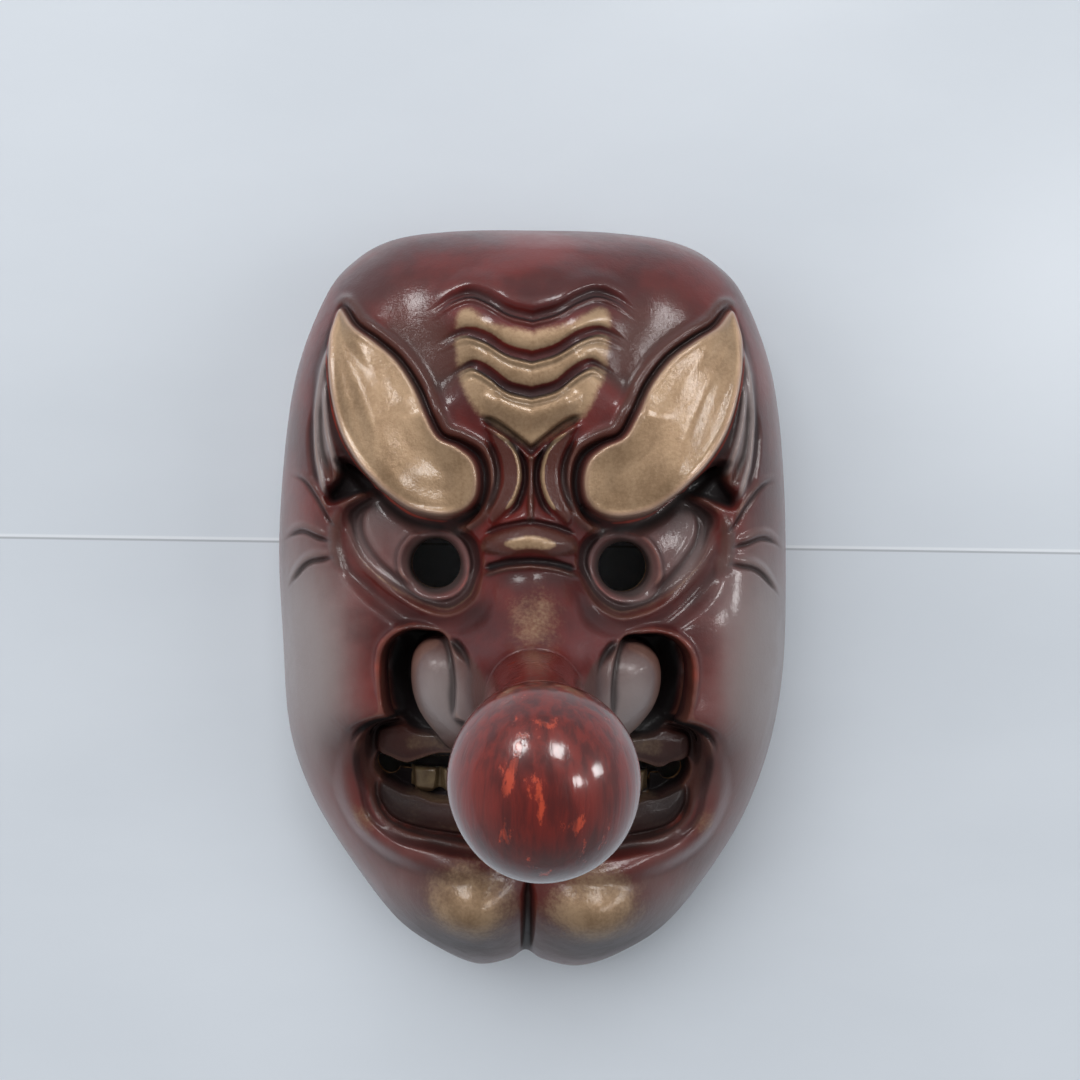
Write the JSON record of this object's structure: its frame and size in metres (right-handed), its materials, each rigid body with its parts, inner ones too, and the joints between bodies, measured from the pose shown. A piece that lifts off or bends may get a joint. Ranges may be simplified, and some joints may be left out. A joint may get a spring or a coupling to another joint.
{
  "type": "carved long-nosed mask",
  "caption": "Lacquered carved wooden mask with a long plug-in nose, eye holes, gilt teeth, cord holes at the temples and a flat back rim to lie on.",
  "frame": {"origin": "middle of the mask's outline, in the plane of the flat back rim that it lies on", "axes": "+Z out of the face along the nose, +Y towards the crown, +X across the face"},
  "size_m": [0.1786, 0.258, 0.206],
  "materials": {
    "face_lacquer": "glossy dark maroon lacquer, gold rubbed over the high relief and vermilion worn through at the edges",
    "nose_lacquer": "glossy dark red lacquer, brushed, with worn vermilion spots",
    "bare_wood": "planed bare hardwood",
    "gilt": "rubbed dull gold over dark lacquer"
  },
  "bodies": {
    "face": {"face_shell": "face_lacquer", "upper_teeth": "gilt"},
    "nose": {"nose": "nose_lacquer", "nose_tenon": "bare_wood"}
  },
  "joints": [
    {"name": "nose_pull_off", "type": "slide", "parent": "face", "child": "nose", "axis": [0, 0, 1], "range_m": [0, 0.034]}
  ]
}
